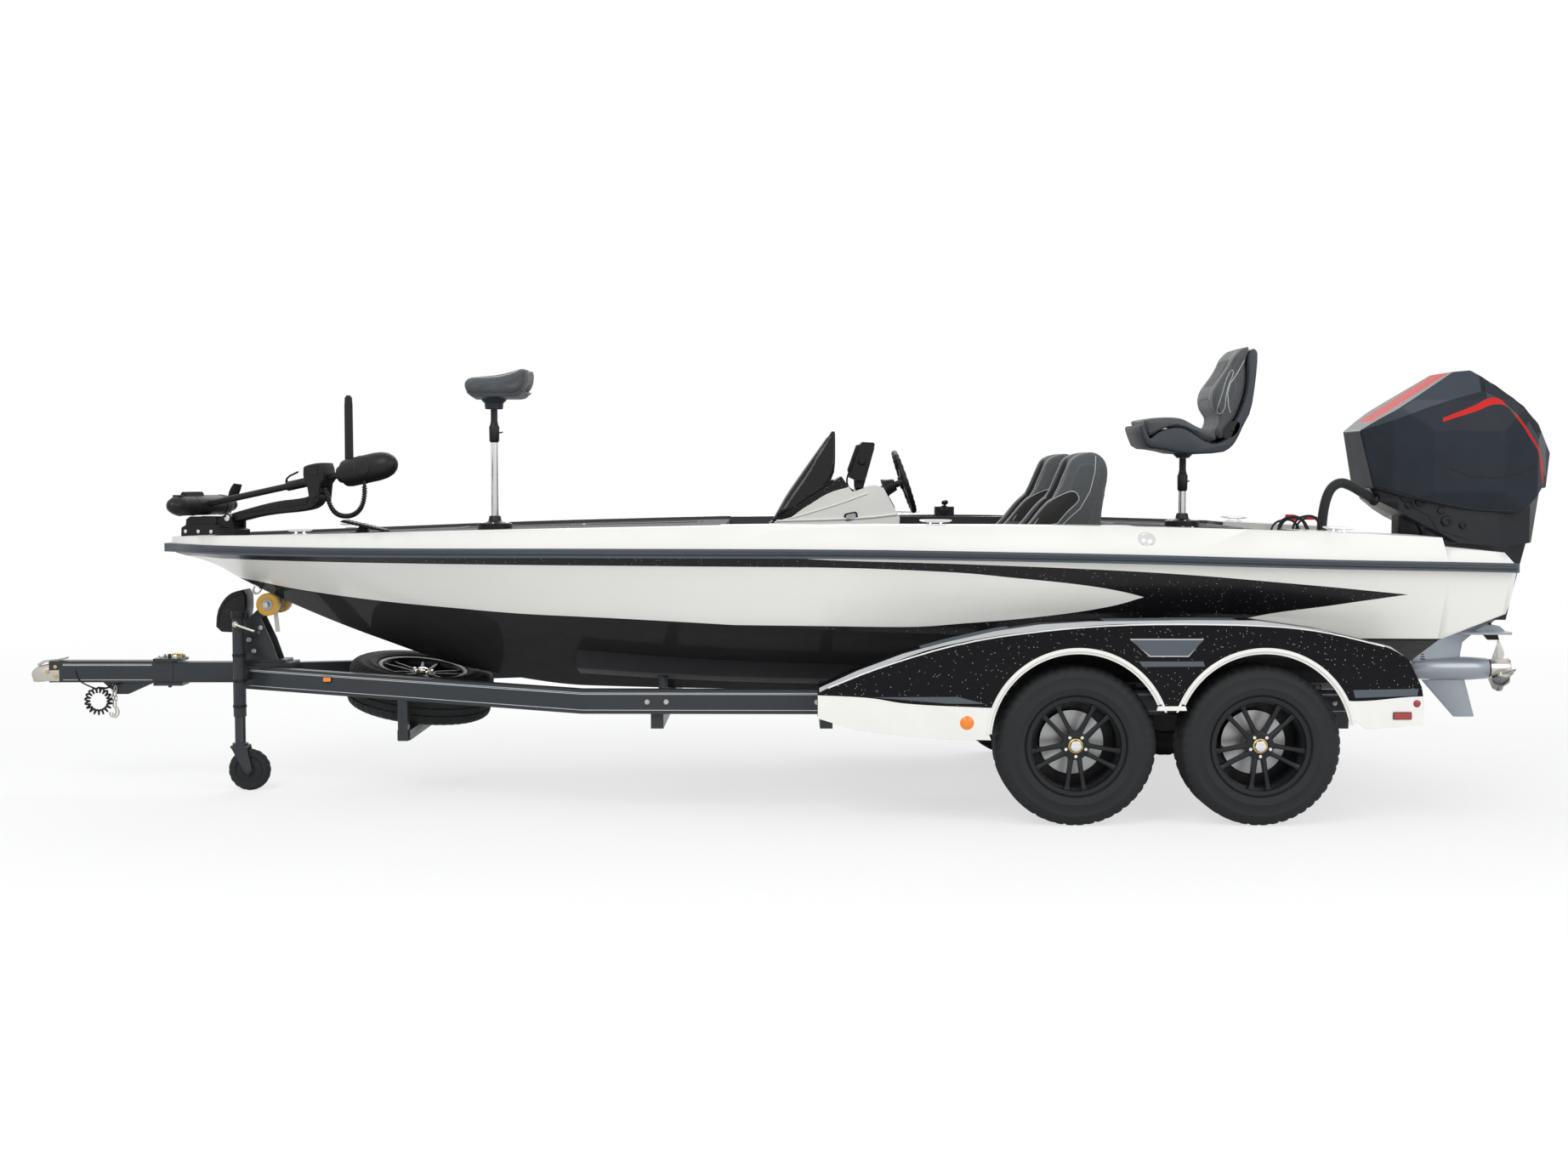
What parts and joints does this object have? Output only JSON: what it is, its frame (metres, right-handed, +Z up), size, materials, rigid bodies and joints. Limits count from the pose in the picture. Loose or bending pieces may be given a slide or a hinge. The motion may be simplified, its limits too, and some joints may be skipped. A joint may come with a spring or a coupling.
{
  "type": "bass boat on a trailer",
  "caption": "Low fishing boat with a V bottom, bow and stern casting decks and a raised outboard, carried on a tandem-axle trailer with swing tongue and jack.",
  "frame": {"origin": "on the ground, on the centreline, half way between the coupler's front and the cowl's back", "axes": "+X aft along the keel, +Y to starboard, +Z up"},
  "size_m": [7.8, 2.552, 2.266],
  "materials": {
    "gelcoat": "glossy off-white moulded skin; the band of metal-flake black is drawn in the visual model",
    "deck_gelcoat": "glossy off-white",
    "carpet": "dark short-pile marine carpet",
    "rail_rubber": "dark slate rubber",
    "flake_black": "black metal-flake",
    "smoked_glass": "smoked acrylic",
    "black_plastic": "matt black",
    "seat_fabric": "grey woven vinyl with black inserts",
    "slate_plastic": "dark slate moulded plastic",
    "black_metal": "black powder coat",
    "chrome": "polished stainless steel",
    "cowl_paint": "dark slate gloss cowl with red stripes",
    "leg_paint": "dark paint",
    "gearcase_paint": "silver paint",
    "polished_steel": "polished stainless steel",
    "trailer_paint": "dark grey paint with light pin stripes",
    "bunk_carpet": "dark carpet on boards",
    "fender_paint": "black metal-flake with off-white lips",
    "tyre": "black",
    "rim_paint": "satin black cast alloy",
    "amber": "translucent amber",
    "red_lens": "red lens",
    "zinc": "zinc plate"
  },
  "bodies": {
    "root": {"hull": "gelcoat", "deck_moulding": "deck_gelcoat", "casting_decks": "carpet", "rub_rail": "rail_rubber", "console": "flake_black", "windscreen": "smoked_glass", "sonar_display": "black_plastic", "throttle_box": "black_plastic", "seat_bases": "carpet", "bucket_seats": "seat_fabric", "bow_seat_post": "black_metal", "aft_seat_post": "black_metal", "deck_fittings": "chrome", "foot_pedal": "black_plastic", "transom_bracket": "black_metal", "rigging_hose": "rail_rubber", "trolling_mount": "black_metal", "trailer_frame": "trailer_paint", "trailer_tongue": "trailer_paint", "coupler": "zinc", "winch_post": "trailer_paint", "winch": "black_plastic", "bunks": "bunk_carpet", "axles": "trailer_paint", "fenders": "fender_paint", "jack_tube": "trailer_paint", "spare_rim": "rim_paint", "spare_tyre": "tyre", "marker_lamps": "amber", "tail_lamps": "red_lens"},
    "swivel": {"swivel_bracket": "black_metal"},
    "outboard": {"outboard_cowl": "cowl_paint", "outboard_leg": "leg_paint", "outboard_gearcase": "gearcase_paint"},
    "propeller": {"propeller": "polished_steel"},
    "helm": {"steering_wheel": "black_plastic"},
    "bow_seat": {"bow_seat": "seat_fabric"},
    "aft_seat": {"aft_seat_shell": "slate_plastic", "aft_seat_cushion": "seat_fabric"},
    "port_rod_lid": {"port_rod_locker_lid": "carpet"},
    "starboard_rod_lid": {"starboard_rod_locker_lid": "carpet"},
    "port_aft_lid": {"port_aft_locker_lid": "carpet"},
    "starboard_aft_lid": {"starboard_aft_locker_lid": "carpet"},
    "trolling_arm": {"trolling_arm": "slate_plastic"},
    "trolling_shaft": {"trolling_shaft": "slate_plastic", "trolling_pod": "slate_plastic"},
    "trolling_propeller": {"trolling_propeller": "black_plastic"},
    "port_roller": {"port_bow_roller": "amber"},
    "starboard_roller": {"starboard_bow_roller": "amber"},
    "jack_leg": {"jack_leg": "trailer_paint"},
    "caster_fork": {"caster_fork": "trailer_paint"},
    "caster_wheel": {"caster_wheel": "tyre"},
    "port_front_wheel": {"port_front_rim": "rim_paint", "port_front_tyre": "tyre"},
    "port_rear_wheel": {"port_rear_rim": "rim_paint", "port_rear_tyre": "tyre"},
    "starboard_front_wheel": {"starboard_front_rim": "rim_paint", "starboard_front_tyre": "tyre"},
    "starboard_rear_wheel": {"starboard_rear_rim": "rim_paint", "starboard_rear_tyre": "tyre"}
  },
  "joints": [
    {"name": "engine_tilt", "type": "hinge", "parent": "root", "child": "swivel", "pos_m": [3.14, 0, 1.24], "axis": [0, -1, 0], "range_deg": [-4, 60], "deforming": ["rigging_hose"]},
    {"name": "engine_steer", "type": "hinge", "parent": "swivel", "child": "outboard", "pos_m": [3.19, 0, 1.14], "axis": [0, 0, 1], "range_deg": [-30, 30]},
    {"name": "propeller_spin", "type": "hinge", "parent": "outboard", "child": "propeller", "pos_m": [3.69, 0, 0.579], "axis": [1, 0, 0], "continuous": true},
    {"name": "helm_turn", "type": "hinge", "parent": "root", "child": "helm", "pos_m": [0.65, 0.52, 1.567], "axis": [0.9455, 0, 0.3256], "range_deg": [-720, 720]},
    {"name": "bow_seat_swivel", "type": "hinge", "parent": "root", "child": "bow_seat", "pos_m": [-1.49, 0, 1.94], "axis": [0, 0, 1], "continuous": true},
    {"name": "aft_seat_swivel", "type": "hinge", "parent": "root", "child": "aft_seat", "pos_m": [2.052, 0, 1.69], "axis": [0, 0, 1], "continuous": true},
    {"name": "port_rod_lid_hinge", "type": "hinge", "parent": "root", "child": "port_rod_lid", "pos_m": [-1.1, -0.7, 1.351], "axis": [1, 0, 0], "range_deg": [0, 80]},
    {"name": "starboard_rod_lid_hinge", "type": "hinge", "parent": "root", "child": "starboard_rod_lid", "pos_m": [-1.1, 0.7, 1.351], "axis": [-1, 0, 0], "range_deg": [0, 80]},
    {"name": "port_aft_lid_hinge", "type": "hinge", "parent": "root", "child": "port_aft_lid", "pos_m": [2.03, -0.7, 1.3501], "axis": [1, 0, 0], "range_deg": [0, 80]},
    {"name": "starboard_aft_lid_hinge", "type": "hinge", "parent": "root", "child": "starboard_aft_lid", "pos_m": [2.03, 0.7, 1.3501], "axis": [-1, 0, 0], "range_deg": [0, 80]},
    {"name": "trolling_arm_deploy", "type": "hinge", "parent": "root", "child": "trolling_arm", "pos_m": [-2.80456, -0.09492, 1.385], "axis": [-0.3746, -0.9272, 0], "range_deg": [0, 158]},
    {"name": "trolling_shaft_swing", "type": "hinge", "parent": "trolling_arm", "child": "trolling_shaft", "pos_m": [-2.31965, -0.29084, 1.5], "axis": [-0.3746, -0.9272, 0], "range_deg": [-79, 0]},
    {"name": "trolling_propeller_spin", "type": "hinge", "parent": "trolling_shaft", "child": "trolling_propeller", "pos_m": [-2.99, -0.02, 1.449], "axis": [0.3746, 0.9272, 0], "continuous": true},
    {"name": "port_roller_spin", "type": "hinge", "parent": "root", "child": "port_roller", "pos_m": [-2.634, -0.118, 0.944], "axis": [0, 1, 0], "continuous": true},
    {"name": "starboard_roller_spin", "type": "hinge", "parent": "root", "child": "starboard_roller", "pos_m": [-2.634, 0.118, 0.944], "axis": [0, 1, 0], "continuous": true},
    {"name": "jack_slide", "type": "slide", "parent": "root", "child": "jack_leg", "axis": [0, 0, 1], "range_m": [-0.1, 0.13]},
    {"name": "caster_swivel", "type": "hinge", "parent": "jack_leg", "child": "caster_fork", "pos_m": [-2.768, -0.19, 0.231], "axis": [0, 0, 1], "continuous": true},
    {"name": "caster_spin", "type": "hinge", "parent": "caster_fork", "child": "caster_wheel", "pos_m": [-2.722, -0.19, 0.106], "axis": [0, 1, 0], "continuous": true},
    {"name": "port_front_wheel_spin", "type": "hinge", "parent": "root", "child": "port_front_wheel", "pos_m": [1.334, -1.108, 0.368], "axis": [0, 1, 0], "continuous": true},
    {"name": "port_rear_wheel_spin", "type": "hinge", "parent": "root", "child": "port_rear_wheel", "pos_m": [2.178, -1.108, 0.368], "axis": [0, 1, 0], "continuous": true},
    {"name": "starboard_front_wheel_spin", "type": "hinge", "parent": "root", "child": "starboard_front_wheel", "pos_m": [1.334, 1.108, 0.368], "axis": [0, 1, 0], "continuous": true},
    {"name": "starboard_rear_wheel_spin", "type": "hinge", "parent": "root", "child": "starboard_rear_wheel", "pos_m": [2.178, 1.108, 0.368], "axis": [0, 1, 0], "continuous": true}
  ],
  "couplings": [
    {"joint": "helm_turn", "follows": "engine_steer", "ratio": -24},
    {"joint": "trolling_shaft_swing", "follows": "trolling_arm_deploy", "ratio": -0.5}
  ]
}
